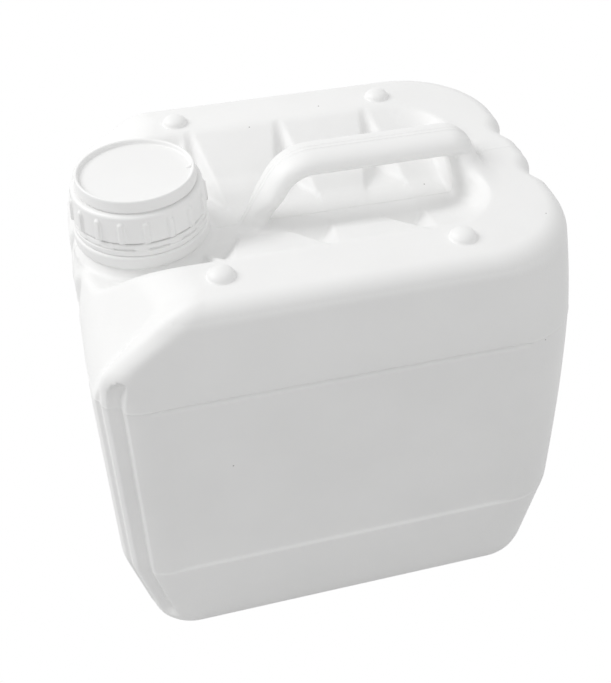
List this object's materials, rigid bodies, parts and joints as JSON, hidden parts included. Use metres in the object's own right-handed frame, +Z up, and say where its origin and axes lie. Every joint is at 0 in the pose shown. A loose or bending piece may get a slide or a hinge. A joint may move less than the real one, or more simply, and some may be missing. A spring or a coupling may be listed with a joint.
{
  "type": "cubic jug",
  "caption": "Stackable rectangular plastic can with a moulded carrying handle over a sunk well, a screw cap, its sealing wad and the tamper ring on the neck.",
  "frame": {"origin": "middle of the base, on the floor", "axes": "+Z up; +X along the can from the neck end to the handle end; +Y towards the back, the mould parts on y = 0"},
  "size_m": [0.1996, 0.164, 0.1898],
  "materials": {
    "body": "natural white polyethylene, fine satin",
    "cap": "moulded white polyethylene, satin",
    "wad": "foamed polyethylene",
    "ring": "moulded white polyethylene, satin"
  },
  "bodies": {
    "can": {"can_body": "body", "tamper_ring": "ring"},
    "wad": {"cap_liner": "wad"},
    "cap": {"cap": "cap"}
  },
  "joints": [
    {"name": "cap_lift", "type": "slide", "parent": "can", "child": "wad", "axis": [0, 0, 1], "range_m": [0, 0.024]},
    {"name": "cap_turn", "type": "hinge", "parent": "wad", "child": "cap", "pos_m": [-0.0679, 0, 0.18], "axis": [0, 0, 1], "range_deg": [0, 1440]}
  ],
  "couplings": [
    {"joint": "cap_lift", "follows": "cap_turn", "m_per_rad": 0.00095493}
  ]
}
